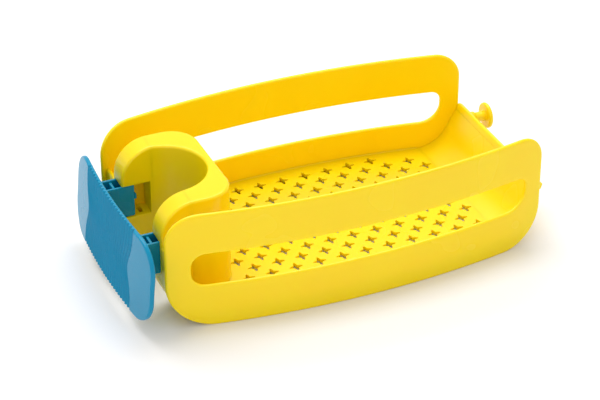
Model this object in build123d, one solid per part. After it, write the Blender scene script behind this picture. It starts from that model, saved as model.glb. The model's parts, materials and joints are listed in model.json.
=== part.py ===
from build123d import *
import os
from math import cos, radians, sin, sqrt, tan

# Sink caddy that hangs on a tap column: a one-piece perforated basket whose collar takes the
# column, and a separate push-in clip that closes the collar's open front.
# Millimetres. +X runs from the clip end to the peg end, +Y to the left side panel, +Z up.
# Pieces are drawn about the side panels' middle, then moved so that the origin is midway along
# the whole, on the mid-plane and on the surface that the side panels stand on.

# Side panels: two bowed plates with rounded corners and one long slot each
PANEL_LENGTH = 221.5
PANEL_HEIGHT = 69.5
PANEL_WALL = 2.5
MID_WIDTH = 123.0  # between the panels' inner faces, at mid-length
BOW_RADIUS = 483.0  # plan radius of the inner faces
CORNER_TOP_FRONT = 18.0
CORNER_TOP_REAR = 15.0
CORNER_LOW_FRONT = 27.0
CORNER_LOW_REAR = 24.0
PANEL_EDGE_ROUND = 0.9
SLOT_FRONT_MARGIN = 13.5
SLOT_REAR_MARGIN = 11.0
SLOT_LOW = 25.5
SLOT_HEIGHT = 19.5
SLOT_CORNERS = (8.0, 12.0, 5.5, 8.0)  # low front, low rear, top rear, top front

# Floor: a flat sheet with a staggered grid of plus-shaped drain holes
FLOOR_TOP = 8.5
FLOOR_WALL = 2.2
HOLE_PITCH_X = 14.0
HOLE_PITCH_Y = 8.55
HOLE_SPAN = 7.7
HOLE_ARM = 2.1
HOLE_ROWS = 13
HOLE_EDGE_GAP = 1.2  # least sheet left between a hole and a panel
FIRST_HOLE_GAP = 2.6  # from the collar's back to the first column of holes
FRONT_HOLE_GAP = 0.5  # from the perforated sheet's front edge to a hole
BEND_OVERRUN = 2.0  # how far the last holes may run into the start of the rear bend
FLOOR_SPLIT = 2.5  # perforated sheet reaches this far in front of the collar's back wall
FLAT_END = 25.75  # from the panels' rear end to where the floor starts to rise

# Rear wall: the floor sheet bent up and leaning outwards, with a thicker rim
REAR_BEND = 20.0
REAR_ANGLE = 65.0
REAR_TOP = 36.5
RIM_WALL = 3.4
RIM_BAND = 4.0

# Pegs behind the rear wall, not evenly placed about the mid-plane
PEG_INSET_LEFT = 11.6  # from the left panel's inner face, at its rear end
PEG_INSET_RIGHT = 27.6
PEG_Z = 31.5
PEG_STEM_R = 3.0
PEG_FOOT_R = 3.9  # short boss between the leaning wall and the stem
PEG_FOOT_END = 4.25  # from the panels' rear end
PEG_HEAD_R = 7.7
PEG_HEAD_THICK = 2.8
PEG_END = 13.75  # from the panels' rear end to the heads' outer face
PEG_HEAD_ROUND = 1.1

# Tap collar: a U-shaped wall, open at the front
COLLAR_SETBACK = 3.0  # from the panels' front end to the arms' front faces
THROAT_R = 23.8
THROAT_CENTRE = 15.5  # behind the arms' front faces
ARM_THICK = 14.0
BACK_WALL = 4.7
COLLAR_TOP = 67.0
COLLAR_ROLL = 19.5  # the arms' top front corner rolls over by this radius
COLLAR_CORNER = 16.0
COLLAR_SKIN = 2.4
COLLAR_EDGE_ROUND = 1.6
ARM_LENGTH = 17.75

# Pockets in the arms, open to the front and to the throat
POCKET_LOW = 25.5
POCKET_HEIGHT = 20.0
POCKET_WIDTH = 11.6
POCKET_DEPTH = 16.5
LATCH_SLIT_LENGTH = 2.0
LATCH_SLIT_WIDTH = 6.0
LATCH_SLIT_SETBACK = 4.0

# Front walls: from the arms to the side panels, bent into the floor
FRONT_WALL = 2.5
FRONT_WALL_TOP = 43.0
FRONT_BEND = 14.0

# Clip: a bowed grip plate with two hollow prongs
PRONG_GAP = 0.3  # clearance of a prong in its pocket, each side
PRONG_WALL = 1.6
PRONG_ENTRY = 7.25  # how far the prongs are in the pockets at rest
PRONG_RIB_SETBACK = 10.0
PRONG_RIB_DROP = 1.0
NUB_LENGTH = 1.2
NUB_HEIGHT = 3.0
NUB_WIDTH = 3.0
NUB_DROP = 6.0
PLATE_WALL = 2.6
PLATE_FRONT = 15.25  # from the panels' front end to the middle of the plate's front
PLATE_HALF_WIDTH = 59.5
PLATE_HALF_HEIGHT = 24.5
PLATE_MIDDLE_Z = 32.5
PLATE_CORNER = 17.5
PLATE_BOW_RADIUS = 430.0
PLATE_LEAN = 5.0  # degrees, top edge towards the basket
GRIP_LINES = 22
GRIP_BAND = 66.0  # width of the grooved band
GRIP_GROOVE = 1.5
GRIP_DEPTH = 0.8

SPARE = 10.0  # how far cutting blocks run past what they cut
X_FRONT = -PANEL_LENGTH / 2
X_REAR = PANEL_LENGTH / 2
Y_MID = MID_WIDTH / 2
FLOOR_LOW = FLOOR_TOP - FLOOR_WALL
ARM_FRONT = X_FRONT + COLLAR_SETBACK
THROAT_X = ARM_FRONT + THROAT_CENTRE
COLLAR_BACK = THROAT_X + THROAT_R + BACK_WALL
COLLAR_HALF = THROAT_R + ARM_THICK
ARM_END = ARM_FRONT + ARM_LENGTH
SHEET_FRONT = COLLAR_BACK - FLOOR_SPLIT - HOLE_SPAN / 2
SHEET_REAR = X_REAR - FLAT_END
TALL = PANEL_HEIGHT + 2 * SPARE
WIDE = MID_WIDTH
BOW_CENTRE = Y_MID - BOW_RADIUS
PLATE_PLACE = Pos(X_FRONT - PLATE_FRONT, 0, PLATE_MIDDLE_Z) * Rot(0, PLATE_LEAN, 0)


def outline(points, radii):
    """Closed flat face through the corner points, each corner rounded by its own radius."""
    return make_face(FilletPolyline(*points, radius=radii, close=True))


def across(face, low, high):
    """A face drawn in X and Z, carried along Y from low to high."""
    upright = Plane.XZ.offset(-low) * face
    return extrude(upright, amount=low - high)


def along(face, low, high):
    """A face drawn in Y and Z, carried along X from low to high."""
    return extrude(Plane.YZ.offset(low) * face, amount=high - low)


def block(x_low, x_high, y_low, y_high, z_low, z_high):
    """A plain box between two corners."""
    size = (x_high - x_low, y_high - y_low, z_high - z_low)
    middle = ((x_low + x_high) / 2, (y_low + y_high) / 2, (z_low + z_high) / 2)
    return Pos(*middle) * Box(*size)


def flipped(shape):
    """The same piece on the other side of the mid-plane."""
    return mirror(shape, about=Plane.XZ)


def between_panels(z_low, z_high):
    """Everything between the two bowed inner faces, from z_low to z_high."""
    lens = Pos(0, BOW_CENTRE) * Circle(BOW_RADIUS) & Pos(0, -BOW_CENTRE) * Circle(BOW_RADIUS)
    return Pos(0, 0, z_low) * extrude(lens, amount=z_high - z_low)


def inner_half_width(x):
    """Half the distance between the panels at a place along the basket."""
    return BOW_CENTRE + sqrt(BOW_RADIUS**2 - x**2)


def side_panel():
    """Left panel: a slotted outline cut out of a shallow arc of sheet."""
    corners = [(X_FRONT, 0), (X_REAR, 0), (X_REAR, PANEL_HEIGHT), (X_FRONT, PANEL_HEIGHT)]
    radii = [CORNER_LOW_FRONT, CORNER_LOW_REAR, CORNER_TOP_REAR, CORNER_TOP_FRONT]
    slot_x = (X_FRONT + SLOT_FRONT_MARGIN, X_REAR - SLOT_REAR_MARGIN)
    slot_z = (SLOT_LOW, SLOT_LOW + SLOT_HEIGHT)
    slot = [(slot_x[0], slot_z[0]), (slot_x[1], slot_z[0]), (slot_x[1], slot_z[1]), (slot_x[0], slot_z[1])]
    face = outline(corners, radii) - outline(slot, SLOT_CORNERS)
    ring = Circle(BOW_RADIUS + PANEL_WALL) - Circle(BOW_RADIUS)
    arc = Pos(0, BOW_CENTRE) * extrude(ring, amount=TALL)
    panel = across(face, 0, WIDE) & Pos(0, 0, -SPARE) * arc
    rims = [edge for edge in panel.edges() if edge.center().Y > 0]
    return fillet(rims, PANEL_EDGE_ROUND)


def plus_hole():
    """One drain hole, a plus with equal arms."""
    return Rectangle(HOLE_SPAN, HOLE_ARM) + Rectangle(HOLE_ARM, HOLE_SPAN)


def hole_places():
    """Centres of the staggered holes that fit between the panels, the collar and the rear bend."""
    reach = HOLE_SPAN / 2 + HOLE_EDGE_GAP
    rows = HOLE_ROWS // 2
    first = COLLAR_BACK + HOLE_SPAN / 2 + FIRST_HOLE_GAP
    last = SHEET_REAR - HOLE_SPAN / 2 + BEND_OVERRUN
    places = []
    for row in range(-rows, rows + 1):
        y = row * HOLE_PITCH_Y
        shift = HOLE_PITCH_X / 2 if row % 2 else 0
        for step in range(-1, int(PANEL_LENGTH / HOLE_PITCH_X)):
            x = first + step * HOLE_PITCH_X + shift
            beside = abs(y) > COLLAR_HALF + HOLE_SPAN / 2
            if step < 0 and not beside:
                continue
            if x < SHEET_FRONT + HOLE_SPAN / 2 + FRONT_HOLE_GAP or x > last:
                continue
            if abs(y) + reach > inner_half_width(abs(x) + HOLE_ARM):
                continue
            places.append((x, y))
    return places


def collar_footprint():
    """Outer plan of the collar: a rectangle with rounded back corners."""
    corners = [
        (ARM_FRONT, -COLLAR_HALF),
        (COLLAR_BACK, -COLLAR_HALF),
        (COLLAR_BACK, COLLAR_HALF),
        (ARM_FRONT, COLLAR_HALF),
    ]
    return outline(corners, [0, COLLAR_CORNER, COLLAR_CORNER, 0])


def collar_plan():
    """Plan of the collar's wall: its footprint less the throat."""
    mouth = Pos(THROAT_X - THROAT_CENTRE, 0) * Rectangle(2 * THROAT_CENTRE, 2 * THROAT_R)
    return collar_footprint() - mouth - Pos(THROAT_X, 0) * Circle(THROAT_R)


def collar_solid():
    """Whole collar wall, with its top front corner rolled over and its foot bent back."""
    wall = Pos(0, 0, FLOOR_LOW) * extrude(collar_plan(), amount=COLLAR_TOP - FLOOR_LOW)
    side = [
        (ARM_FRONT, FLOOR_LOW),
        (COLLAR_BACK, FLOOR_LOW),
        (COLLAR_BACK, COLLAR_TOP),
        (ARM_FRONT, COLLAR_TOP),
    ]
    rolled = across(outline(side, [FRONT_BEND, 0, 0, COLLAR_ROLL]), -WIDE, WIDE)
    solid = wall & rolled
    crest = [edge for edge in solid.edges() if edge.center().Z > FLOOR_TOP + 2 * FRONT_BEND]
    rounded = [edge for edge in crest if abs(edge.tangent_at(0.5).Z) < 0.9]
    return fillet(rounded, COLLAR_EDGE_ROUND)


def collar_back():
    """The U-shaped back of the collar, cored from below so that the walls stay even."""
    solid = collar_solid() & block(ARM_END, COLLAR_BACK, -WIDE, WIDE, 0, TALL)
    low = ARM_END + COLLAR_SKIN
    high = COLLAR_BACK - COLLAR_SKIN
    half = COLLAR_HALF - COLLAR_SKIN
    corner = COLLAR_CORNER - COLLAR_SKIN
    core = outline([(low, -half), (high, -half), (high, half), (low, half)], [1, corner, corner, 1])
    core -= Pos(THROAT_X, 0) * Circle(THROAT_R + COLLAR_SKIN)
    return solid - extrude(core, amount=COLLAR_TOP - COLLAR_SKIN)


def pocket():
    """Space of one pocket, from the arm's front face and the throat inwards."""
    y_low = THROAT_R - SPARE
    y_high = THROAT_R + POCKET_WIDTH
    x_end = ARM_FRONT + POCKET_DEPTH
    return block(ARM_FRONT - SPARE, x_end, y_low, y_high, POCKET_LOW, POCKET_LOW + POCKET_HEIGHT)


def collar_arm():
    """Left arm of the collar, with the pocket that takes a prong and a slit for its latch."""
    solid = collar_solid() & block(ARM_FRONT, ARM_END, 0, WIDE, 0, TALL)
    slit_end = ARM_FRONT + POCKET_DEPTH - LATCH_SLIT_SETBACK
    slit_y = THROAT_R + POCKET_WIDTH / 2
    slit = block(
        slit_end - LATCH_SLIT_LENGTH,
        slit_end,
        slit_y - LATCH_SLIT_WIDTH / 2,
        slit_y + LATCH_SLIT_WIDTH / 2,
        0,
        POCKET_LOW + SPARE / 2,
    )
    core = block(
        ARM_FRONT + FRONT_BEND / 2,
        ARM_END - COLLAR_SKIN,
        THROAT_R + COLLAR_SKIN,
        COLLAR_HALF - COLLAR_SKIN,
        0,
        POCKET_LOW - COLLAR_SKIN,
    )
    return solid - pocket() - slit - core


def front_sheet():
    """Wall, bend and floor between the left arm and the left panel, in front of the drain sheet."""
    outer = [
        (ARM_FRONT, FRONT_WALL_TOP),
        (ARM_FRONT, FLOOR_LOW),
        (SHEET_FRONT, FLOOR_LOW),
        (SHEET_FRONT, FLOOR_TOP),
        (ARM_FRONT + FRONT_WALL, FLOOR_TOP),
        (ARM_FRONT + FRONT_WALL, FRONT_WALL_TOP),
    ]
    face = outline(outer, [0, FRONT_BEND, 0, 0, FRONT_BEND - FRONT_WALL, 0])
    sheet = across(face, COLLAR_HALF, WIDE)
    return sheet & between_panels(0, TALL)


def split_front(part_x):
    """Front sheet parted where its bend meets the flat floor: the wall, then the floor."""
    whole = front_sheet()
    wall = whole & block(X_FRONT - SPARE, part_x, 0, WIDE, -SPARE, TALL)
    floor = whole & block(part_x, SHEET_FRONT, 0, WIDE, -SPARE, TALL)
    return wall, floor


def drain_floor():
    """Perforated sheet between the panels, notched round the back of the collar."""
    middle = (SHEET_FRONT + SHEET_REAR) / 2
    plan = Pos(middle, 0) * Rectangle(SHEET_REAR - SHEET_FRONT, 2 * WIDE)
    plan -= collar_footprint()
    sheet = Pos(0, 0, FLOOR_LOW) * extrude(plan, amount=FLOOR_WALL)
    sheet &= between_panels(0, TALL)
    holes = Sketch() + [Pos(x, y) * plus_hole() for x, y in hole_places()]
    return sheet - extrude(holes, amount=TALL)


def rear_line(offset, length):
    """Points and bend of the rear wall's section at an offset below the inner surface."""
    lean = radians(REAR_ANGLE)
    run = REAR_BEND * tan(lean / 2)
    corner = (SHEET_REAR + run + offset * tan(lean / 2), FLOOR_TOP - offset)
    reach = run + length
    end = (SHEET_REAR + run + reach * cos(lean) + offset * sin(lean),
           FLOOR_TOP + reach * sin(lean) - offset * cos(lean))
    return corner, end


def rear_length():
    """Length of the straight, leaning stretch up to the rim."""
    lean = radians(REAR_ANGLE)
    rise = REAR_BEND * (1 - cos(lean))
    return (REAR_TOP - FLOOR_TOP - rise) / sin(lean)


def rear_sheet(depth, length):
    """Section of the rear wall: a little flat floor, the bend and the lean, depth thick."""
    start = SHEET_REAR - SPARE
    inner_corner, inner_end = rear_line(0, length)
    outer_corner, outer_end = rear_line(depth, length)
    points = [
        (start, FLOOR_TOP),
        inner_corner,
        inner_end,
        outer_end,
        outer_corner,
        (start, FLOOR_TOP - depth),
    ]
    return outline(points, [0, REAR_BEND, 0, 0, REAR_BEND + depth, 0])


def rear_wall():
    """Bent and leaning wall, up to the underside of the rim."""
    sheet = across(rear_sheet(FLOOR_WALL, rear_length() - RIM_BAND), -WIDE, WIDE)
    behind = block(SHEET_REAR, X_REAR + 2 * SPARE, -WIDE, WIDE, -SPARE, TALL)
    return sheet & between_panels(0, TALL) & behind


def rear_rim():
    """Thicker band along the rear wall's top edge."""
    thick = across(rear_sheet(RIM_WALL, rear_length()), -WIDE, WIDE)
    thin = across(rear_sheet(2 * RIM_WALL, rear_length() - RIM_BAND), -WIDE, WIDE)
    return (thick - thin) & between_panels(0, TALL)


def rear_peg(y, rim):
    """One peg: a foot on the leaning wall, a round stem and a rounded disc head."""
    head_face = X_REAR + PEG_END
    head_low = head_face - PEG_HEAD_THICK
    foot_end = X_REAR + PEG_FOOT_END
    centre = Pos(y, PEG_Z)
    foot = along(centre * Circle(PEG_FOOT_R), SHEET_REAR, foot_end)
    stem = along(centre * Circle(PEG_STEM_R), foot_end, head_low)
    head = along(centre * Circle(PEG_HEAD_R), head_low, head_face)
    head = fillet(head.edges().filter_by(GeomType.CIRCLE), PEG_HEAD_ROUND)
    before = across(rear_sheet(FLOOR_WALL, rear_length() + 2 * SPARE), -WIDE, WIDE)
    root = (foot - before - rim).solids().sort_by(Axis.X)[-1]
    return root + stem + head


def plate_ring(depth, half_height):
    """Bowed sheet about the plate's middle, depth thick behind its front."""
    ring = Circle(PLATE_BOW_RADIUS) - Circle(PLATE_BOW_RADIUS - depth)
    return Pos(PLATE_BOW_RADIUS, 0, -half_height) * extrude(ring, amount=2 * half_height)


def grip_grooves():
    """Upright grooves across the grip, each as deep below the bowed surface."""
    grooves = []
    for number in range(GRIP_LINES):
        y = GRIP_BAND * (number / (GRIP_LINES - 1) - 0.5)
        bottom = PLATE_BOW_RADIUS - sqrt(PLATE_BOW_RADIUS**2 - y**2) + GRIP_DEPTH
        y_low = y - GRIP_GROOVE / 2
        y_high = y + GRIP_GROOVE / 2
        grooves.append(block(-SPARE, bottom, y_low, y_high, -TALL, TALL))
    return grooves


def grip_plate():
    """Grip plate: a bowed, leaning rounded rectangle with a grooved band over its middle."""
    corners = [
        (-PLATE_HALF_WIDTH, -PLATE_HALF_HEIGHT),
        (PLATE_HALF_WIDTH, -PLATE_HALF_HEIGHT),
        (PLATE_HALF_WIDTH, PLATE_HALF_HEIGHT),
        (-PLATE_HALF_WIDTH, PLATE_HALF_HEIGHT),
    ]
    face = outline(corners, [PLATE_CORNER] * 4)
    plate = along(face, -SPARE, 4 * SPARE) & plate_ring(PLATE_WALL, TALL)
    plate = fillet(plate.edges(), PANEL_EDGE_ROUND)
    return PLATE_PLACE * (plate - grip_grooves())


def prong_space():
    """Outer box of the left prong, from inside the grip plate to its tip."""
    x_tip = ARM_FRONT + PRONG_ENTRY
    y_low = THROAT_R + PRONG_GAP
    y_high = THROAT_R + POCKET_WIDTH - PRONG_GAP
    z_low = POCKET_LOW + PRONG_GAP
    z_high = POCKET_LOW + POCKET_HEIGHT - PRONG_GAP
    return x_tip, y_low, y_high, z_low, z_high


def behind_plate():
    """Everything behind the grip plate's back surface."""
    disc = Circle(PLATE_BOW_RADIUS - PLATE_WALL)
    return PLATE_PLACE * Pos(PLATE_BOW_RADIUS, 0, -TALL) * extrude(disc, amount=2 * TALL)


def prong():
    """Left prong: a box open at the top, its front end closed by the grip plate's back."""
    x_tip, y_low, y_high, z_low, z_high = prong_space()
    x_root = X_FRONT - PLATE_FRONT - SPARE
    outer = block(x_root, x_tip, y_low, y_high, z_low, z_high)
    inner = block(
        x_root - SPARE,
        x_tip - PRONG_WALL,
        y_low + PRONG_WALL,
        y_high - PRONG_WALL,
        z_low + PRONG_WALL,
        z_high + SPARE,
    )
    return (outer - inner) & behind_plate()


def prong_rib():
    """Cross rib inside the left prong, seated between its side walls."""
    x_tip, y_low, y_high, z_low, z_high = prong_space()
    x_high = x_tip - PRONG_RIB_SETBACK
    return block(
        x_high - PRONG_WALL,
        x_high,
        y_low + PRONG_WALL,
        y_high - PRONG_WALL,
        z_low + PRONG_WALL,
        z_high - PRONG_RIB_DROP,
    )


def latch_nub():
    """Small nub on the end of the left prong, beside the throat."""
    x_tip, y_low, _, _, z_high = prong_space()
    z_top = z_high - NUB_DROP
    nub = block(x_tip, x_tip + NUB_LENGTH, y_low, y_low + NUB_WIDTH, z_top - NUB_HEIGHT, z_top)
    far_edges = nub.edges().filter_by(Axis.Y).sort_by(Axis.X)[-2:]
    return fillet(far_edges, NUB_LENGTH / 2)


def build():
    """Every piece by name."""
    wall = rear_wall()
    rim = rear_rim()
    front_wall, front_floor = split_front(ARM_FRONT + FRONT_BEND)
    pairs = {
        "side_panel": side_panel(),
        "collar_arm": collar_arm(),
        "front_wall": front_wall,
        "front_floor": front_floor,
        "clip_prong": prong(),
        "clip_rib": prong_rib(),
        "clip_nub": latch_nub(),
    }
    rear_half = inner_half_width(X_REAR)
    parts = {
        "rear_peg_left": rear_peg(rear_half - PEG_INSET_LEFT, rim),
        "rear_peg_right": rear_peg(PEG_INSET_RIGHT - rear_half, rim),
        "drain_floor": drain_floor(),
        "rear_wall": wall,
        "rear_rim": rim,
        "collar_back": collar_back(),
        "grip_plate": grip_plate(),
    }
    for name, shape in pairs.items():
        parts[name + "_left"] = shape
        parts[name + "_right"] = flipped(shape)
    whole = Compound(list(parts.values())).bounding_box()
    shift = Pos(-(whole.min.X + whole.max.X) / 2, 0, 0)
    return {name: shift * shape for name, shape in parts.items()}


os.makedirs("parts", exist_ok=True)
for name, shape in build().items():
    export_step(shape, "parts/" + name + ".step")
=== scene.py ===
"""Sink caddy for a tap column: the finished look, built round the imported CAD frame.

The basket is one glossy yellow polypropylene moulding and the clip one blue one. Every piece
here is a surface worked out with numpy from the boxes of the CAD nodes, in metres.
"""

from __future__ import annotations

import json
import logging
import math
from dataclasses import dataclass
from enum import Enum

import bpy
import numpy as np
from mathutils.geometry import delaunay_2d_cdt
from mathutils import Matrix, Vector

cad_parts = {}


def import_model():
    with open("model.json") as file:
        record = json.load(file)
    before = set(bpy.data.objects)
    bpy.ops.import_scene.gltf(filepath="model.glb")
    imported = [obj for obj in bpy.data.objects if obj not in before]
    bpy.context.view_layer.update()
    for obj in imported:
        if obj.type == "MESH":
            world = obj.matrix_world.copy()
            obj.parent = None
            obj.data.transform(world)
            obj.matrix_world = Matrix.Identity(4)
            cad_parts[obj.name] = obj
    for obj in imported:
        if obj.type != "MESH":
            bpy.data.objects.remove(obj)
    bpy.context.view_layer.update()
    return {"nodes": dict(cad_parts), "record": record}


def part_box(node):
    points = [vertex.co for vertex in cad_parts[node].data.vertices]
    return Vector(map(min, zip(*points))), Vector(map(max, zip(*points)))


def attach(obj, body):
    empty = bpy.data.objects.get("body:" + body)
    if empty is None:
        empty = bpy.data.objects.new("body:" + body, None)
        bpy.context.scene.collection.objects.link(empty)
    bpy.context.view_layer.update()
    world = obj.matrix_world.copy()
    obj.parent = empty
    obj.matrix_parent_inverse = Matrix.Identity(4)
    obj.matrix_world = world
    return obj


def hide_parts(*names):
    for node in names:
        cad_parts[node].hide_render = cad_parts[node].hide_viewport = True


LOG = logging.getLogger("sink_caddy")
MM = 0.001
Grid = np.ndarray
Box = tuple[np.ndarray, np.ndarray]


class Side(Enum):
    """Which side of the mid-plane a piece is on; the value is the sign of Y."""

    LEFT = 1.0
    RIGHT = -1.0

    @property
    def word(self) -> str:
        """The word that ends the names of this side's nodes."""
        return self.name.lower()


def node_box(node: str) -> Box:
    """Lowest and highest corners of a CAD node as arrays, in metres."""
    low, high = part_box(node)
    return np.array(low), np.array(high)


# ---------------------------------------------------------------- finishes


def linear(hex_colour: str) -> tuple[float, float, float, float]:
    """Turn an sRGB hex colour into linear RGBA.

    Args:
        hex_colour: Six hex digits, with or without a hash.

    Returns:
        Linear red, green, blue and an alpha of one.
    """
    digits = hex_colour.lstrip("#")
    encoded = np.array([int(digits[i:i + 2], 16) for i in (0, 2, 4)]) / 255
    low, high = encoded / 12.92, ((encoded + 0.055) / 1.055) ** 2.4
    red, green, blue = np.where(encoded <= 0.04045, low, high)
    return float(red), float(green), float(blue), 1.0


def add_node(
    tree: bpy.types.NodeTree,
    kind: str,
    settings: dict[str, object] | None = None,
    inputs: dict[str, object] | None = None,
) -> bpy.types.Node:
    """Add a node with its settings, input values and links.

    Args:
        tree: The material's node tree.
        kind: The node's type name.
        settings: Attributes to set on the node.
        inputs: Values for its input sockets; an output socket is linked instead.

    Returns:
        The new node.
    """
    node = tree.nodes.new(kind)
    for name, value in (settings or {}).items():
        setattr(node, name, value)
    for name, value in (inputs or {}).items():
        socket = node.inputs[name]
        if isinstance(value, bpy.types.NodeSocket):
            tree.links.new(value, socket)
        else:
            socket.default_value = value
    return node


@dataclass(frozen=True)
class MouldedPolypropylene:
    """Injection-moulded polypropylene, straight from a polished tool.

    Coloured through, slightly translucent, glossy with a soft edge to its reflections. Melt
    that froze unevenly leaves broad, very faint colour clouds, and the tool's polish leaves a
    fine orange peel that breaks up the gloss.
    """

    name: str
    colour: str  # of most of the surface
    cloud: str  # of the faint flow clouds
    glow: tuple[float, float, float]  # how far red, green and blue travel inside, in mm
    translucency: float
    roughness: float
    gloss: float  # strength of the clear reflection, 0.5 for plain plastic
    cloud_size: float = 42.0  # mm, across one flow cloud
    peel_size: float = 1.6  # mm, drawn coarser than the real 0.3 mm so that it shows
    peel_height: float = 0.012  # mm

    def make(self) -> bpy.types.Material:
        """Build the node material.

        Returns:
            The material, ready to assign.
        """
        material = bpy.data.materials.new(self.name)
        material.use_nodes = True
        tree = material.node_tree
        tree.nodes.clear()
        place = add_node(tree, "ShaderNodeTexCoord")
        clouds = add_node(
            tree,
            "ShaderNodeTexNoise",
            inputs={"Vector": place.outputs["Object"], "Scale": 1 / (self.cloud_size * MM), "Detail": 2.0},
        )
        tint = add_node(
            tree,
            "ShaderNodeValToRGB",
            inputs={"Fac": clouds.outputs["Fac"]},
        )
        tint.color_ramp.elements[0].position = 0.32
        tint.color_ramp.elements[0].color = linear(self.cloud)
        tint.color_ramp.elements[1].position = 0.68
        tint.color_ramp.elements[1].color = linear(self.colour)
        peel = add_node(
            tree,
            "ShaderNodeTexNoise",
            inputs={"Vector": place.outputs["Object"], "Scale": 1 / (self.peel_size * MM), "Detail": 1.0},
        )
        relief = add_node(
            tree,
            "ShaderNodeBump",
            inputs={"Strength": 1.0, "Distance": self.peel_height * MM, "Height": peel.outputs["Fac"]},
        )
        wear = add_node(
            tree,
            "ShaderNodeMapRange",
            inputs={
                "Value": clouds.outputs["Fac"],
                "From Min": 0.3,
                "From Max": 0.7,
                "To Min": self.roughness * 0.88,
                "To Max": self.roughness * 1.14,
            },
        )
        surface = add_node(
            tree,
            "ShaderNodeBsdfPrincipled",
            inputs={
                "Base Color": tint.outputs["Color"],
                "Roughness": wear.outputs["Result"],
                "Normal": relief.outputs["Normal"],
                "IOR": 1.49,
                "Specular IOR Level": self.gloss,
                "Subsurface Weight": self.translucency,
                "Subsurface Radius": tuple(reach * MM for reach in self.glow),
                "Subsurface Scale": 1.0,
            },
        )
        add_node(tree, "ShaderNodeOutputMaterial", inputs={"Surface": surface.outputs["BSDF"]})
        return material


YELLOW = MouldedPolypropylene(
    name="yellow_moulded_polypropylene",
    colour="FFDE04",
    cloud="FFDA02",
    glow=(3.0, 2.3, 0.15),
    translucency=0.45,
    roughness=0.25,
    gloss=0.4,
)
BLUE = MouldedPolypropylene(
    name="blue_moulded_polypropylene",
    colour="008FB6",
    cloud="008AB0",
    glow=(0.1, 0.7, 0.9),
    translucency=0.12,
    roughness=0.26,
    gloss=0.28,
)


def dress(piece: bpy.types.Object, material: bpy.types.Material) -> None:
    """Give a piece one material in all its slots."""
    if not piece.data.materials:
        piece.data.materials.append(material)
    for place in piece.material_slots:
        place.material = material


# ---------------------------------------------------------------- surfaces


def ring_quads(rings: int, around: int, closed: bool) -> np.ndarray:
    """Quads that join each ring of points to the next.

    Args:
        rings: How many rings.
        around: Points in each ring, which is itself closed.
        closed: Whether the last ring joins the first.

    Returns:
        Vertex indices, four to a row.
    """
    ring = np.arange(rings if closed else rings - 1)[:, None]
    step = np.arange(around)[None, :]
    after, beside = (ring + 1) % rings, (step + 1) % around
    corners = [ring * around + step, ring * around + beside, after * around + beside, after * around + step]
    return np.stack(corners, axis=-1).reshape(-1, 4)


def patch_quads(rows: int, columns: int) -> np.ndarray:
    """Quads of an open grid with that many rows and columns of points."""
    row = np.arange(rows - 1)[:, None]
    column = np.arange(columns - 1)[None, :]
    first = row * columns + column
    return np.stack([first, first + 1, first + columns + 1, first + columns], axis=-1).reshape(-1, 4)


def rounded_loop(
    low: tuple[float, float],
    high: tuple[float, float],
    radii: tuple[float, ...],
    inset: float = 0.0,
    arc_steps: int = 10,
    side_steps: tuple[int, ...] = (1, 1, 1, 1),
) -> Grid:
    """Rounded rectangle as a closed loop of points.

    Each corner is a quarter circle about a centre one radius in from both sides. An inset moves
    every side in by that much and takes it off each radius, so insets of one loop run parallel.

    Args:
        low: Lowest corner of the rectangle.
        high: Highest corner.
        radii: Corner radii, anticlockwise from the lowest corner.
        inset: How far to move in; below nought is out.
        arc_steps: Spans in each corner.
        side_steps: Spans along each side.

    Returns:
        Points of the loop, anticlockwise, two columns.
    """
    low_in, high_in = np.array(low) + inset, np.array(high) - inset
    (west, south), (east, north) = low_in, high_in
    places = [(west, south), (east, south), (east, north), (west, north)]
    inward = [(1, 1), (-1, 1), (-1, -1), (1, -1)]
    arcs = []
    for number, (place, way, radius) in enumerate(zip(places, inward, radii)):
        bend = max(radius - inset, 0.0)
        angle = math.pi + number * math.pi / 2 + np.linspace(0, math.pi / 2, arc_steps + 1)
        centre = np.array(place) + bend * np.array(way)
        arcs.append(centre + bend * np.stack([np.cos(angle), np.sin(angle)], axis=1))
    pieces = []
    for number, steps in enumerate(side_steps):
        start, end = arcs[number][-1], arcs[(number + 1) % 4][0]
        share = np.linspace(0, 1, steps + 1)[1:-1, None]
        pieces += [arcs[number], start + (end - start) * share]
    return np.concatenate(pieces)


def edge_round(radius: float, steps: int = 4) -> tuple[np.ndarray, np.ndarray]:
    """Inset and drop of a quarter-round edge, from the flat face to the side.

    Args:
        radius: The edge's radius.
        steps: Spans of the quarter circle.

    Returns:
        Insets from the side, and drops below the face.
    """
    angle = np.linspace(0, math.pi / 2, steps + 1)
    return radius * (1 - np.sin(angle)), radius * (1 - np.cos(angle))


def solid(name: str, points: Grid, faces: list[list[int]], sharp: float = 40.0) -> bpy.types.Object:
    """Make a closed piece whose faces point outwards.

    The signed volume is the sum over triangles of a dot (b cross c) over six; below nought the
    faces point inwards and are turned round.

    Args:
        name: Piece name.
        points: Vertices in metres.
        faces: Vertex indices of each face.
        sharp: Degrees between faces above which an edge stays crisp.

    Returns:
        The object, at the origin.
    """
    mesh = bpy.data.meshes.new(name)
    mesh.from_pydata(points.reshape(-1, 3).tolist(), [], faces)
    mesh.validate()
    mesh.calc_loop_triangles()
    corners = np.empty(len(mesh.loop_triangles) * 3, np.int32)
    mesh.loop_triangles.foreach_get("vertices", corners)
    first, second, third = np.moveaxis(points.reshape(-1, 3)[corners.reshape(-1, 3)], 1, 0)
    if np.einsum("ij,ij->", first, np.cross(second, third)) < 0:
        mesh.flip_normals()
    mesh.shade_smooth()
    mesh.set_sharp_from_angle(angle=math.radians(sharp))
    piece = bpy.data.objects.new(name, mesh)
    bpy.context.scene.collection.objects.link(piece)
    return piece


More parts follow.
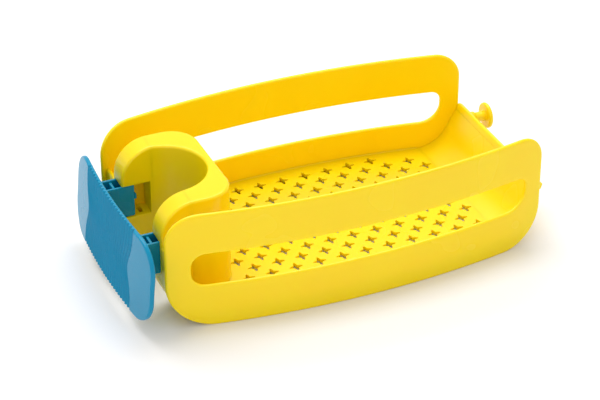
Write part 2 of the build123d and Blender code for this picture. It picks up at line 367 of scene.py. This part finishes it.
def loft(name: str, rings: Grid, sharp: float = 40.0) -> bpy.types.Object:
    """Close a stack of rings with a cap at each end.

    Args:
        name: Piece name.
        rings: Points by ring, by place in the ring, by coordinate.
        sharp: Degrees above which an edge stays crisp.

    Returns:
        The object.
    """
    count, around = rings.shape[:2]
    faces = ring_quads(count, around, False).tolist()
    faces.append(list(range(around))[::-1])
    faces.append(list(range((count - 1) * around, count * around)))
    return solid(name, rings, faces, sharp)


def rounded_block(name: str, box: Box, radius: float) -> bpy.types.Object:
    """Block with all its edges rounded.

    Rings of one rounded rectangle in X and Y are stacked in Z, and the first and last few move
    in by a quarter circle.

    Args:
        name: Piece name.
        box: Lowest and highest corners.
        radius: Edge radius.

    Returns:
        The object.
    """
    low, high = box
    insets, drops = edge_round(radius)
    insets = np.concatenate([insets, insets[::-1]])
    heights = np.concatenate([low[2] + drops, high[2] - drops[::-1]])
    rings = []
    for inset, height in zip(insets, heights):
        loop = rounded_loop(low[:2], high[:2], (radius,) * 4, inset, 4)
        rings.append(np.column_stack([loop, np.full(len(loop), height)]))
    return loft(name, np.array(rings))


@dataclass(frozen=True)
class Bow:
    """Plan curve of the side panels' inner faces: an arc whose middle bulges outwards."""

    middle_x: float
    half_width: float
    radius: float

    def at(self, x: np.ndarray, depth: np.ndarray | float = 0.0) -> np.ndarray:
        """Half-width at a place along the basket.

        The circle of the radius plus depth about a centre on the mid-line's far side, so that
        half-width = centre + sqrt((radius + depth)^2 - x^2).

        Args:
            x: Places along the basket.
            depth: How far outside the inner face.

        Returns:
            Distance from the mid-plane.
        """
        centre = self.half_width - self.radius
        return centre + np.sqrt((self.radius + depth) ** 2 - (x - self.middle_x) ** 2)


# ---------------------------------------------------------------- basket


@dataclass(frozen=True)
class PegShape:
    """Sizes of a rear peg, along X from its foot in the wall to its domed head."""

    foot_radius: float = 3.9 * MM
    stem_radius: float = 3.0 * MM
    head_thick: float = 2.8 * MM
    foot_to_crown: float = 9.5 * MM
    head_round: float = 1.1 * MM
    foot_round: float = 0.6 * MM
    hollow: float = 0.8 * MM  # radius of the fillets at both ends of the stem
    crown: float = 0.3 * MM  # rise of the dome from the head's rim
    sides: int = 56

    def profile(self, x_low: float, x_high: float, head_radius: float) -> Grid:
        """Half-section of the peg.

        Quarter circles join straight stretches: the foot's edge and the head's two edges are
        round, and both ends of the stem are hollow.

        Args:
            x_low: Start of the foot.
            x_high: Crown of the dome.
            head_radius: The head's radius.

        Returns:
            Places along X with their radii, two columns.
        """
        quarter = np.linspace(0, math.pi / 2, 7)
        late, early = 1 - np.cos(quarter), 1 - np.sin(quarter)
        foot, stem, ease, hollow = self.foot_radius, self.stem_radius, self.head_round, self.hollow
        foot_end, neck = x_high - self.foot_to_crown, x_high - self.head_thick
        parts = [
            [[x_low + 0.6 * MM, foot * 0.55], [x_low + 1.6 * MM, foot]],
            np.stack([foot_end - self.foot_round * early, foot - self.foot_round * late], axis=1),
            np.stack([foot_end + hollow * late, stem + hollow * early], axis=1),
            np.stack([neck - hollow * np.cos(quarter), stem + hollow * early[::-1]], axis=1),
            np.stack([neck + ease * late, head_radius - ease * early], axis=1),
            np.stack([x_high - ease * early - self.crown, head_radius - ease * late], axis=1),
            [[x_high - 0.12 * MM, head_radius * 0.6], [x_high, head_radius * 0.2], [x_high, 0.02 * MM]],
        ]
        return np.vstack(parts)


@dataclass
class Basket:
    """The yellow moulding: panels, floor, rear wall with its rim and pegs, front walls, collar."""

    bow_radius: float = 483.0 * MM
    wall: float = 2.5 * MM
    rim_round: float = 1.1 * MM
    rim_support: float = 0.4 * MM  # flat strip beside a round rim, which keeps its shading crisp
    arc_steps: int = 14
    corner_radii: tuple[float, ...] = (27.0 * MM, 24.0 * MM, 15.0 * MM, 18.0 * MM)
    slot_radii: tuple[float, ...] = (8.0 * MM, 12.0 * MM, 5.5 * MM, 8.0 * MM)
    slot_margins: tuple[float, float] = (13.5 * MM, 11.0 * MM)
    slot_heights: tuple[float, float] = (25.5 * MM, 45.0 * MM)
    face_spans: int = 5
    side_steps: tuple[int, ...] = (56, 8, 56, 8)
    floor_wall: float = 2.2 * MM
    foot_fillet: float = 0.8 * MM
    fillet_fade: float = 3.0 * MM  # length over which the fillet fades out at an open edge
    collar_corner: float = 16.0 * MM
    edge_steps: tuple[int, int, int] = (90, 24, 14)  # along a panel, across, round a corner
    floor_sharp: float = 12.0  # low, so that the flat round each hole keeps its own shading
    hole_reach: float = 3.85 * MM
    hole_tip: float = 0.55 * MM  # radius of a star's arm tips
    hole_waist: float = 1.12 * MM  # where two arms meet, along each axis
    hole_edge: float = 0.25 * MM
    hole_shoulder: tuple[float, float] = (1.45, 0.92)  # where an arm narrows, in waists
    tip_sweep: float = 75.0
    hole_steps: int = 16  # most holes in a row
    hole_front_gap: float = 0.5 * MM
    hole_side_gap: float = 1.2 * MM
    hole_end_reach: float = 2.1 * MM  # how far along a hole its gap to the bow is measured
    hole_overrun: float = 2.0 * MM  # how far a hole may reach into the rear bend
    overrun: float = 2.6 * MM  # how far the perforated sheet reaches into the rear bend
    hole_pitch: tuple[float, float] = (14.0 * MM, 8.55 * MM)
    hole_rows: int = 13
    first_hole: float = 6.45 * MM  # behind the collar
    sink: float = 0.5 * MM  # how far a sheet's edge runs into the wall that it meets
    cross_spans: int = 16
    rear_bend: float = 20.0 * MM
    bend_steps: int = 24
    rear_angle: float = 65.0
    rim_wall: float = 3.4 * MM
    rim_band: float = 4.0 * MM
    rim_corners: tuple[float, ...] = (0.2 * MM, 0.9 * MM, 1.3 * MM, 1.3 * MM)
    front_bend: float = 14.0 * MM
    peg_shape: PegShape = PegShape()

    def __post_init__(self) -> None:
        """Read the places that everything else is worked out from."""
        low, high = node_box("side_panel_left")
        self.panel = (low, high)
        self.bow = Bow((low[0] + high[0]) / 2, high[1] - self.wall, self.bow_radius)
        self.floor = node_box("drain_floor")
        self.rear = node_box("rear_rim")
        self.collar = node_box("collar_back")
        self.front = node_box("front_wall_left")

    def side_panel(self, side: Side) -> bpy.types.Object:
        """One bowed, slotted panel with round rims.

        A ring of points is the rounded outline or the slot, moved in or out. The surface carries
        it round the sheet's section: up the outer rim, across the outer face to the slot, down
        the slot's rim and back across the inner face. Each point then moves to the bow's arc.

        Args:
            side: Which panel.

        Returns:
            The panel.
        """
        low, high = self.panel
        slot_low = (low[0] + self.slot_margins[0], self.slot_heights[0])
        slot_high = (high[0] - self.slot_margins[1], self.slot_heights[1])
        insets, drops = edge_round(self.rim_round)
        support = self.rim_round + self.rim_support
        low_corner, high_corner = (low[0], low[2]), (high[0], high[2])
        steps = self.arc_steps, self.side_steps

        def outer(inset: float) -> Grid:
            """The outline moved in."""
            return rounded_loop(low_corner, high_corner, self.corner_radii, inset, *steps)

        def slot(outset: float) -> Grid:
            """The slot moved out."""
            return rounded_loop(slot_low, slot_high, self.slot_radii, -outset, *steps)

        rims_out = [(outer(i), d) for i, d in zip(insets, drops)]
        rims_out += [(outer(i), self.wall - d) for i, d in zip(insets[::-1], drops[::-1])]
        rims_in = [(slot(i), self.wall - d) for i, d in zip(insets, drops)]
        rims_in += [(slot(i), d) for i, d in zip(insets[::-1], drops[::-1])]
        shares = np.linspace(0, 1, self.face_spans + 1)
        face = [outer(support) * (1 - share) + slot(support) * share for share in shares]
        rings = rims_out + [(loop, self.wall) for loop in face]
        rings += rims_in + [(loop, 0.0) for loop in face[::-1]]
        flat = np.array([loop for loop, _ in rings])
        depth = np.array([d for _, d in rings])[:, None]
        y = side.value * self.bow.at(flat[..., 0], depth)
        points = np.stack([flat[..., 0], y, flat[..., 1]], axis=-1)
        piece = solid(f"panel_{side.word}", points, ring_quads(*points.shape[:2], True).tolist())
        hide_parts(f"side_panel_{side.word}")
        return piece

    def hole_places(self) -> Grid:
        """Centres of the drain holes: every second row moves along by half a pitch.

        Returns:
            Centres that clear the panels, the collar and the rear bend, two columns.
        """
        rows = self.hole_rows // 2
        row, step = np.meshgrid(np.arange(-rows, rows + 1), np.arange(-1, self.hole_steps), indexing="ij")
        first = self.collar[1][0] + self.first_hole
        x = first + (step + np.where(row % 2, 0.5, 0.0)) * self.hole_pitch[0]
        y = row * self.hole_pitch[1]
        reach = self.hole_reach
        beside = np.abs(y) > self.collar[1][1] + reach
        fits = (step >= 0) | beside
        fits &= x > self.floor[0][0] + reach + self.hole_front_gap
        fits &= x < self.floor[1][0] - reach + self.hole_overrun
        offset = np.abs(x - self.bow.middle_x) + self.hole_end_reach
        fits &= np.abs(y) + reach + self.hole_side_gap < self.bow.at(self.bow.middle_x + offset)
        return np.stack([x[fits], y[fits]], axis=1)

    def star(self) -> Grid:
        """Outline of one drain hole: four arms along the axes, tapering to round tips.

        Each arm is a round tip and two straight sides to the points where arms meet.

        Returns:
            Points about the hole's centre, anticlockwise, two columns.
        """
        turn = np.radians(np.linspace(-self.tip_sweep, self.tip_sweep, 7))
        tip = self.hole_tip * np.stack([np.cos(turn), np.sin(turn)], axis=1)
        tip[:, 0] += self.hole_reach - self.hole_tip
        waist = self.hole_waist
        along, beside = waist * self.hole_shoulder[0], waist * self.hole_shoulder[1]
        arm = np.vstack([[[along, -beside]], tip, [[along, beside]], [[waist, waist]]])
        quarter = [np.array([[c, s], [-s, c]]) for c, s in ((1, 0), (0, 1), (-1, 0), (0, -1))]
        return np.concatenate([arm @ spin for spin in quarter])

    def floor_edge(self) -> tuple[Grid, np.ndarray, np.ndarray]:
        """Outline of the perforated sheet with its inward normals.

        It runs back along the right panel's bow, across the rear, forward along the left panel
        and round the back of the collar.

        Returns:
            Points, inward unit normals, and a share from nought to one for how much of a foot
            fillet each point has, which fades out at the sheet's front and rear edges.
        """
        front, rear = self.floor[0][0], self.floor[1][0] + self.overrun
        long_steps, cross_steps, corner_steps = self.edge_steps
        along = np.linspace(front, rear, long_steps)
        side = self.bow.at(along)
        half, back = self.collar[1][1], self.collar[1][0]
        radius = self.collar_corner
        turn = np.linspace(0, math.pi / 2, corner_steps)
        centre = np.array([back - radius, half - radius])
        corner = centre + radius * np.stack([np.cos(turn), np.sin(turn)], axis=1)
        shortest = 0.2 * MM
        corner = corner[corner[:, 0] > front + shortest][::-1]
        start_y = centre[1] + math.sqrt(radius**2 - (front - centre[0]) ** 2)
        corner = np.vstack([[front, start_y], corner])
        across = np.linspace(half - radius, radius - half, cross_steps)[1:-1]
        behind = np.linspace(-side[-1], side[-1], cross_steps)[1:-1]
        parts = [
            np.stack([along, -side], axis=1),
            np.stack([np.full(len(behind), rear), behind], axis=1),
            np.stack([along[::-1], side[::-1]], axis=1),
            corner,
            np.stack([np.full(len(across), back), across], axis=1),
            corner[::-1] * (1, -1),
        ]
        edge = np.concatenate(parts)
        ahead = np.roll(edge, -1, axis=0) - np.roll(edge, 1, axis=0)
        normal = np.stack([-ahead[:, 1], ahead[:, 0]], axis=1)
        normal /= np.linalg.norm(normal, axis=1)[:, None]
        from_ends = np.minimum(edge[:, 0] - front, rear - edge[:, 0])
        inner = np.clip(from_ends / self.fillet_fade, 0, 1)
        return edge, normal, inner

    def drain_floor(self) -> bpy.types.Object:
        """Perforated sheet with four-pointed drain holes and a small fillet along the walls.

        A hole's rings go down through the sheet, the first ones on a quarter-round edge. The flat
        between the outline and the holes is a triangulation, and the underside repeats it.

        Returns:
            The floor.
        """
        top, thick = self.floor[1][2], self.floor_wall
        star = self.star()
        centres = self.hole_places()
        edge, normal, foot = self.floor_edge()
        fillet = self.foot_fillet

        def level(hole_size: float, hole_z: float, inset: float, rise: float) -> Grid:
            """One ring of every loop, the outline and then the holes, lifted with the rear bend."""
            rim = edge + normal * (foot * inset)[:, None]
            rim = np.column_stack([rim, top + foot * rise])
            holes = centres[:, None, :] + (1 + hole_size / self.hole_reach) * star[None]
            holes = np.concatenate([holes, np.full((*holes.shape[:2], 1), hole_z)], axis=2)
            points = np.concatenate([rim, holes.reshape(-1, 3)])
            beyond = np.clip(points[:, 0] - self.floor[1][0], 0, None)
            points[:, 2] += self.rear_bend - np.sqrt(self.rear_bend**2 - beyond**2)
            return points

        ease = self.hole_edge
        angles = np.radians([0, 30, 60, 90])
        upper = [
            level(ease * (1 - math.sin(a)), top - ease * (1 - math.cos(a)),
                  fillet * (1 - math.sin(a)), fillet * (1 - math.cos(a)))
            for a in angles
        ]
        sunk = level(0.0, top - thick / 2, -self.sink, fillet)
        under = level(0.0, top - thick, -self.sink, 0.0)
        under[: len(edge), 2] -= thick
        levels = np.array([*upper, sunk, under])
        count = levels.shape[1]
        loops = [np.arange(len(edge))]
        loops += list(len(edge) + np.arange(len(centres) * len(star)).reshape(-1, len(star)))
        quads = []
        for loop in loops:
            beside = np.roll(loop, -1)
            for layer in range(len(levels) - 1):
                low, high = layer * count, (layer + 1) * count
                quads.append(np.stack([loop + low, beside + low, beside + high, loop + high], axis=1))
        links = np.concatenate([np.stack([loop, np.roll(loop, -1)], axis=1) for loop in loops])
        found = delaunay_2d_cdt(levels[0][:, :2].tolist(), links.tolist(), [], 1, 1e-7)
        triangles = np.array(found[2])
        if len(found[0]) != count:
            raise ValueError("the floor's outlines cross")
        # drop the triangles inside a hole; those between a star's arms are on the sheet and stay
        middles = levels[0][triangles][..., :2].mean(axis=1)
        owner = np.where(triangles < len(edge), -1, (triangles - len(edge)) // len(star))
        within = (owner[:, 0] >= 0) & (owner[:, 0] == owner[:, 1]) & (owner[:, 1] == owner[:, 2])
        offsets = np.abs(middles - centres[owner[:, 0]])
        near, far = offsets.min(axis=1), offsets.max(axis=1)
        taper = self.hole_reach - self.hole_tip - self.hole_waist
        slope = (self.hole_waist - self.hole_tip) / taper
        arm = self.hole_waist + ease / 2 - slope * (far - self.hole_waist)
        triangles = triangles[~(within & (near < arm))]
        faces = np.concatenate(quads).tolist()
        faces += triangles.tolist()
        faces += (triangles[:, ::-1] + (len(levels) - 1) * count).tolist()
        piece = solid("perforated_floor", levels, faces, self.floor_sharp)
        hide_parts("drain_floor")
        return piece

    def across(self, name: str, section: Grid, y_low: float | None = None) -> bpy.types.Object:
        """Carry a closed section in X and Z from one wall to the next.

        Args:
            name: Piece name.
            section: Points of the section, two columns.
            y_low: Where it starts; None spans from panel to panel.

        Returns:
            The piece.
        """
        reach = self.bow.at(section[:, 0]) + self.sink
        start = -reach if y_low is None else np.full(len(section), y_low)
        shares = np.linspace(0, 1, self.cross_spans + 1)[:, None]
        y = start + (reach - start) * shares
        x = np.broadcast_to(section[:, 0], y.shape)
        z = np.broadcast_to(section[:, 1], y.shape)
        return loft(name, np.stack([x, y, z], axis=-1))

    def rear_line(self, offset: float, length: float, steps: int) -> Grid:
        """Line of the rear wall at an offset below its inner face.

        It starts at the perforated sheet's end, goes round an arc that is larger by the offset,
        then leans.

        Args:
            offset: Distance outside the inner face.
            length: Straight stretch after the bend.
            steps: Spans of the arc.

        Returns:
            Points, two columns.
        """
        bend, lean = self.rear_bend, math.radians(self.rear_angle)
        top = self.floor[1][2]
        angle = np.linspace(math.asin(self.overrun / bend), lean, steps + 1)
        centre = np.array([self.floor[1][0], top + bend])
        arc = centre + (bend + offset) * np.stack([np.sin(angle), -np.cos(angle)], axis=1)
        run = np.array([math.cos(lean), math.sin(lean)])
        start = (self.floor[1][0] + self.overrun, arc[0][1])
        return np.vstack([start, arc, arc[-1] + length * run])

    def rear_sheet(self) -> list[bpy.types.Object]:
        """Leaning rear wall and the thicker, rounded rim along its top.

        Returns:
            The wall and the rim.
        """
        lean = math.radians(self.rear_angle)
        rise = self.rear[1][2] - self.floor[1][2] - self.rear_bend * (1 - math.cos(lean))
        length = rise / math.sin(lean)
        inner = self.rear_line(0.0, length - self.rim_band, self.bend_steps)[1:]
        outer = self.rear_line(self.floor_wall, length - self.rim_band, self.bend_steps)
        wall = self.across("bent_rear_wall", np.vstack([inner, outer[::-1]]))
        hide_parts("rear_wall")
        base = self.rear_line(0.0, 0.0, 4)[-1]
        run = np.array([math.cos(lean), math.sin(lean)])
        out = np.array([math.sin(lean), -math.cos(lean)])
        low, high = (0, length - self.rim_band), (self.rim_wall, length)
        loop = rounded_loop(low, high, self.rim_corners, 0.0, 8)
        rim = self.across("rear_rim_band", base + loop[:, :1] * out + loop[:, 1:] * run)
        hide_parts("rear_rim")
        return [wall, rim]

    def front_sheet(self, side: Side) -> bpy.types.Object:
        """Front wall beside an arm, bent into the floor that runs to the perforated sheet.

        Args:
            side: Which side.

        Returns:
            The sheet.
        """
        low, high = self.front
        top, thick, bend = self.floor[1][2], self.floor_wall, self.front_bend
        wall = self.wall
        turn = np.linspace(math.pi, 1.5 * math.pi, 15)
        unit = np.stack([np.cos(turn), np.sin(turn)], axis=1)
        outer = np.array([low[0] + bend, low[2] + bend]) + bend * unit
        inner_bend = bend - wall
        inner = np.array([low[0] + bend, top + inner_bend]) + inner_bend * unit
        over = np.radians(np.linspace(0, 180, 11))
        crest = wall / 2 * np.stack([np.cos(over), np.sin(over)], axis=1)
        crest += np.array([low[0] + wall / 2, high[2] - wall / 2])
        end = self.floor[0][0] + self.sink / 5
        section = np.vstack([crest, outer, [[end, top - thick]], [[end, top]], inner[::-1]])
        piece = self.across(f"front_sheet_{side.word}", section, self.collar[1][1] - self.sink)
        if side is Side.RIGHT:
            self.flip(piece)
        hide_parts(f"front_wall_{side.word}", f"front_floor_{side.word}")
        return piece

    @staticmethod
    def flip(piece: bpy.types.Object) -> None:
        """Turn a left piece into a right one, its faces still outwards."""
        co = np.empty(len(piece.data.vertices) * 3, np.float32)
        piece.data.vertices.foreach_get("co", co)
        co[1::3] *= -1
        piece.data.vertices.foreach_set("co", co)
        piece.data.flip_normals()
        piece.data.update()

    def peg(self, side: Side) -> bpy.types.Object:
        """Peg turned about its own axis: foot, stem with a small root fillet, domed disc head.

        Args:
            side: Which peg.

        Returns:
            The peg.
        """
        low, high = node_box(f"rear_peg_{side.word}")
        middle = (low + high) / 2
        shape = self.peg_shape
        profile = shape.profile(low[0], high[0], (high[1] - low[1]) / 2)
        turn = np.linspace(0, 2 * math.pi, shape.sides, endpoint=False)
        x = np.repeat(profile[:, :1], len(turn), axis=1)
        y = middle[1] + profile[:, 1:] * np.cos(turn)
        z = middle[2] + profile[:, 1:] * np.sin(turn)
        piece = loft(f"mushroom_peg_{side.word}", np.stack([x, y, z], axis=-1))
        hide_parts(f"rear_peg_{side.word}")
        return piece

    def build(self, finish: bpy.types.Material) -> None:
        """Build and dress every piece of the basket.

        Args:
            finish: The moulding's material.
        """
        pieces = [self.drain_floor(), *self.rear_sheet()]
        for side in Side:
            pieces += [self.side_panel(side), self.front_sheet(side), self.peg(side)]
        settle(pieces, "basket", finish)


# ---------------------------------------------------------------- clip


@dataclass
class Clip:
    """The blue moulding: bowed grip plate with waisted grooves, two open-topped prongs."""

    bow_radius: float = 430.0 * MM
    lean: float = 5.0
    half_width: float = 59.5 * MM
    half_height: float = 24.5 * MM
    corner: float = 17.5 * MM
    wall: float = 2.6 * MM
    edge: float = 0.9 * MM
    band: float = 36.5 * MM  # half-width of the grooved band at its ends
    waist: float = 5.0 * MM  # how far the band's sides pull in at mid-height
    waist_height: float = 10.0 * MM
    grooves: int = 23
    groove_depth: float = 1.4 * MM
    groove_power: float = 0.9
    groove_steps: int = 10
    rows: int = 56
    prong_wall: float = 1.6 * MM
    prong_round: float = 0.5 * MM
    root_round: float = 0.2 * MM
    rib_round: float = 0.35 * MM
    nub_round: float = 0.45 * MM

    def __post_init__(self) -> None:
        """Read the plate's place."""
        low, high = node_box("grip_plate")
        self.tilt = math.radians(self.lean)
        self.middle_z = (low[2] + high[2]) / 2
        # the foremost point is the lower front edge, half a height down the lean
        self.front_x = low[0] + math.sin(self.tilt) * (self.half_height - self.edge) - 0.02 * MM

    def place(self, y: Grid, z: Grid, depth: Grid | float) -> Grid:
        """Points of the plate from its own flat coordinates.

        The sheet bows back by radius - sqrt(radius^2 - y^2), then leans about the Y axis.

        Args:
            y: Across the plate.
            z: Up the plate from its middle.
            depth: Behind the front surface.

        Returns:
            Points in the row frame.
        """
        x = self.bow_radius - np.sqrt(self.bow_radius**2 - y**2) + depth
        out_x = self.front_x + x * math.cos(self.tilt) + z * math.sin(self.tilt)
        out_z = self.middle_z - x * math.sin(self.tilt) + z * math.cos(self.tilt)
        return np.stack([out_x, y + 0 * out_x, out_z], axis=-1)

    def groove(self, nominal: Grid) -> Grid:
        """Depth of the grooves by place across the band before it is waisted.

        Inside the band it is a raised cosine to the power 0.9, with one period to a groove, so
        grooves are a little broader than ridges; outside the band it is nought.

        Args:
            nominal: Places across the plate.

        Returns:
            Depths.
        """
        phase = (nominal / self.band + 1) / 2 * self.grooves
        wave = (0.5 - 0.5 * np.cos(2 * math.pi * phase)) ** self.groove_power
        return np.where(np.abs(nominal) <= self.band, self.groove_depth * wave, 0.0)

    def grip_plate(self) -> bpy.types.Object:
        """Plate as a front and a back grid joined by a rounded rim.

        Columns run up the plate. Their height is the rounded outline's, and near mid-height they
        pull in by the waist, a bell curve of height, fading to nothing at the plate's ends.

        Returns:
            The plate.
        """
        half_w, half_h = self.half_width - self.edge, self.half_height - self.edge
        corner = self.corner - self.edge
        turn = np.linspace(0, math.pi / 2, 20)
        bend = half_w - corner + corner * np.sin(turn)
        flat = np.linspace(self.band, half_w - corner, 5)[1:-1]
        ridged = np.linspace(-self.band, self.band, self.grooves * self.groove_steps + 1)
        right = np.concatenate([[self.band + 0.05 * MM], flat, bend])
        nominal = np.concatenate([-right[::-1], ridged, right])
        over = np.clip(np.abs(nominal) - (half_w - corner), 0, corner)
        height = half_h - corner + np.sqrt(corner**2 - over**2)
        share = np.linspace(-1, 1, self.rows + 1)[:, None]
        z = share * height
        fade = np.clip((self.half_width - np.abs(nominal)) / (self.half_width - self.band), 0, 1)
        pull = self.waist / self.band * np.exp(-((z / self.waist_height) ** 2)) * fade
        y = nominal * (1 - pull)
        depth = np.broadcast_to(self.groove(nominal), y.shape)
        rows, columns = y.shape
        index = np.arange(rows * columns).reshape(rows, columns)
        border = np.concatenate([index[0], index[1:, -1], index[-1, -2::-1], index[-2:0:-1, 0]])
        rim_y, rim_z, rim_depth = y.ravel()[border], z.ravel()[border], depth.ravel()[border]
        away = np.stack([
            np.sign(rim_y) * np.clip(np.abs(rim_y) - (half_w - corner), 0, None),
            np.sign(rim_z) * np.clip(np.abs(rim_z) - (half_h - corner), 0, None),
        ], axis=1)
        away[np.linalg.norm(away, axis=1) < 1e-9] = (0, 1)
        away /= np.linalg.norm(away, axis=1)[:, None]
        quarter = np.linspace(0, math.pi / 2, 6)[1:]
        out = np.concatenate([self.edge * np.sin(quarter), self.edge * np.cos(quarter[:-1])])
        back = np.concatenate([self.edge * (1 - np.cos(quarter)),
                               self.wall - self.edge * (1 - np.sin(quarter[:-1]))])
        rings = [
            self.place(rim_y + reach * away[:, 0], rim_z + reach * away[:, 1],
                       drop + rim_depth * (1 - drop / self.wall))
            for reach, drop in zip(out, back)
        ]
        front, rear = self.place(y, z, depth), self.place(y, z, self.wall)
        points = np.concatenate([front.reshape(-1, 3), np.concatenate(rings), rear.reshape(-1, 3)])
        around, grid = len(border), rows * columns
        bands = [border, *(grid + around * number + np.arange(around) for number in range(len(rings)))]
        bands.append(grid + around * len(rings) + border)
        patch = patch_quads(rows, columns)
        quads = [patch[:, ::-1], patch + grid + around * len(rings)]
        for near, far in zip(bands, bands[1:]):
            quads.append(np.stack([near, np.roll(near, -1), np.roll(far, -1), far], axis=1))
        piece = solid("grooved_grip_plate", points, np.concatenate(quads).tolist(), 50.0)
        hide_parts("grip_plate")
        return piece

    def prong(self, side: Side) -> bpy.types.Object:
        """Open-topped box prong, its root sunk in the plate.

        Rounded rectangles in X and Y are stacked: up the outside, over the round rim and down
        the inside. Towards the root each ring stretches to the plate's leaning, bowed sheet.

        Args:
            side: Which prong.

        Returns:
            The prong.
        """
        low, high = node_box(f"clip_prong_{side.word}")
        wall, ease = self.prong_wall, self.prong_round
        corners = (self.root_round, ease, ease, self.root_round)
        insets, drops = edge_round(ease, 3)
        stack = [(i, low[2] + d) for i, d in zip(insets, drops)]
        stack += [(0.0, low[2] + share * (high[2] - low[2])) for share in (0.3, 0.6, 0.9)]
        stack += [(i, high[2] - d) for i, d in zip(insets[::-1], drops[::-1])]
        stack += [(wall - i, high[2] - d) for i, d in zip(insets, drops)]
        stack += [(wall, low[2] + share * (high[2] - low[2])) for share in (0.9, 0.6, 0.3)]
        base = low[2] + wall
        stack += [(wall, base + ease), (wall + ease / 3, base + ease / 3), (wall + ease, base)]
        rings = []
        for inset, height in stack:
            loop = rounded_loop(low[:2], high[:2], corners, 0.0, 4, (8, 3, 8, 3))
            centre = (low[:2] + high[:2]) / 2
            half = (high[:2] - low[:2]) / 2
            loop = centre + (loop - centre) * (half - inset) / half
            share = np.clip((high[0] - loop[:, 0]) / (high[0] - low[0] - inset), 0, 1)
            level = np.full(len(loop), height - self.middle_z)
            root = self.place(loop[:, 1], level, self.wall * 0.5)[:, 0]
            sunk = root + (0.3 if inset > wall / 2 else -0.2) * MM
            x = high[0] - inset - share * (high[0] - inset - sunk)
            x = np.where(share < 1e-6, loop[:, 0], x)
            rings.append(np.column_stack([x, loop[:, 1], np.full(len(loop), height)]))
        piece = loft(f"hollow_prong_{side.word}", np.array(rings))
        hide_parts(f"clip_prong_{side.word}")
        return piece

    def build(self, finish: bpy.types.Material) -> None:
        """Build and dress every piece of the clip.

        Args:
            finish: The moulding's material.
        """
        pieces = [self.grip_plate()]
        for side in Side:
            rib_box, nub_box = node_box(f"clip_rib_{side.word}"), node_box(f"clip_nub_{side.word}")
            rib = rounded_block(f"cross_rib_{side.word}", rib_box, self.rib_round)
            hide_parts(f"clip_rib_{side.word}")
            nub = rounded_block(f"latch_nub_{side.word}", nub_box, self.nub_round)
            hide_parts(f"clip_nub_{side.word}")
            pieces += [self.prong(side), rib, nub]
        settle(pieces, "clip", finish)


def settle(pieces: list[bpy.types.Object], body: str, finish: bpy.types.Material) -> None:
    """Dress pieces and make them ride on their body.

    Args:
        pieces: New pieces in place.
        body: The CAD body that they move with.
        finish: Their material.
    """
    for piece in pieces:
        dress(piece, finish)
        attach(piece, body)
        LOG.info("%s: %d faces, rides on %s", piece.name, len(piece.data.polygons), body)


# ---------------------------------------------------------------- studio


@dataclass
class Studio:
    """Pale floor, soft boxes and the camera."""

    eye: tuple[float, float, float] = (-0.41845, -0.94227, 0.66958)
    tilt: float = 32.02  # degrees below the horizon
    turn: float = -23.41  # degrees about Z
    lens: float = 130.86
    floor_half: float = 6.0
    floor_colour: str = "F4F4F6"

    def build(self) -> None:
        """Place the floor, the lights and the camera."""
        scene = bpy.context.scene
        scene.view_settings.view_transform = "Standard"
        self._floor()
        self._soft_box("overhead_box", (0.10, 0.55, 1.35), (-24.0, 4.0), (1.5, 1.1), 17.0)
        self._soft_box("front_box", (-0.75, -1.15, 0.95), (52.0, -34.0), (0.9, 0.9), 2.6)
        world = bpy.data.worlds.new("studio_air")
        world.use_nodes = True
        world.node_tree.nodes["Background"].inputs["Color"].default_value = (1.0, 1.0, 1.0, 1.0)
        world.node_tree.nodes["Background"].inputs["Strength"].default_value = 0.7
        scene.world = world
        camera = bpy.data.cameras.new("camera")
        camera.lens = self.lens
        camera.sensor_width = 36.0
        camera.clip_start = 0.05
        holder = bpy.data.objects.new("camera", camera)
        holder.location = self.eye
        holder.rotation_euler = (math.radians(90 - self.tilt), 0.0, math.radians(self.turn))
        scene.collection.objects.link(holder)
        scene.camera = holder

    def _floor(self) -> None:
        """A large matt floor at the height that the panels stand on."""
        half = self.floor_half
        mesh = bpy.data.meshes.new("studio_floor")
        corners = [(-half, -half, 0), (half, -half, 0), (half, half, 0), (-half, half, 0)]
        mesh.from_pydata(corners, [], [(0, 1, 2, 3)])
        floor = bpy.data.objects.new("studio_floor", mesh)
        bpy.context.scene.collection.objects.link(floor)
        paper = bpy.data.materials.new("white_paper")
        paper.use_nodes = True
        shader = paper.node_tree.nodes["Principled BSDF"]
        shader.inputs["Base Color"].default_value = linear(self.floor_colour)
        shader.inputs["Roughness"].default_value = 0.6
        shader.inputs["Specular IOR Level"].default_value = 0.2
        mesh.materials.append(paper)

    def _soft_box(
        self,
        name: str,
        place: tuple[float, float, float],
        aim: tuple[float, float],
        size: tuple[float, float],
        power: float,
    ) -> None:
        """Add one area light.

        Args:
            name: The light's name.
            place: Its centre in metres.
            aim: Degrees about X, then about Z, from facing straight down.
            size: Width and height in metres.
            power: Watts.
        """
        light = bpy.data.lights.new(name, "AREA")
        light.shape = "RECTANGLE"
        light.size, light.size_y = size
        light.energy = power
        holder = bpy.data.objects.new(name, light)
        holder.location = place
        holder.rotation_euler = (math.radians(aim[0]), 0.0, math.radians(aim[1]))
        bpy.context.scene.collection.objects.link(holder)


def main() -> None:
    """Load the frame, build every sub-assembly and finish."""
    logging.basicConfig(level=logging.INFO, format="%(name)s: %(message)s")
    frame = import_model()
    Studio().build()
    yellow, blue = YELLOW.make(), BLUE.make()
    clip_nodes = set(frame["record"]["behaviour"]["bodies"]["clip"])
    for name, node in frame["nodes"].items():
        dress(node, blue if name in clip_nodes else yellow)
    Basket().build(yellow)
    Clip().build(blue)


if __name__ == "__main__":
    main()
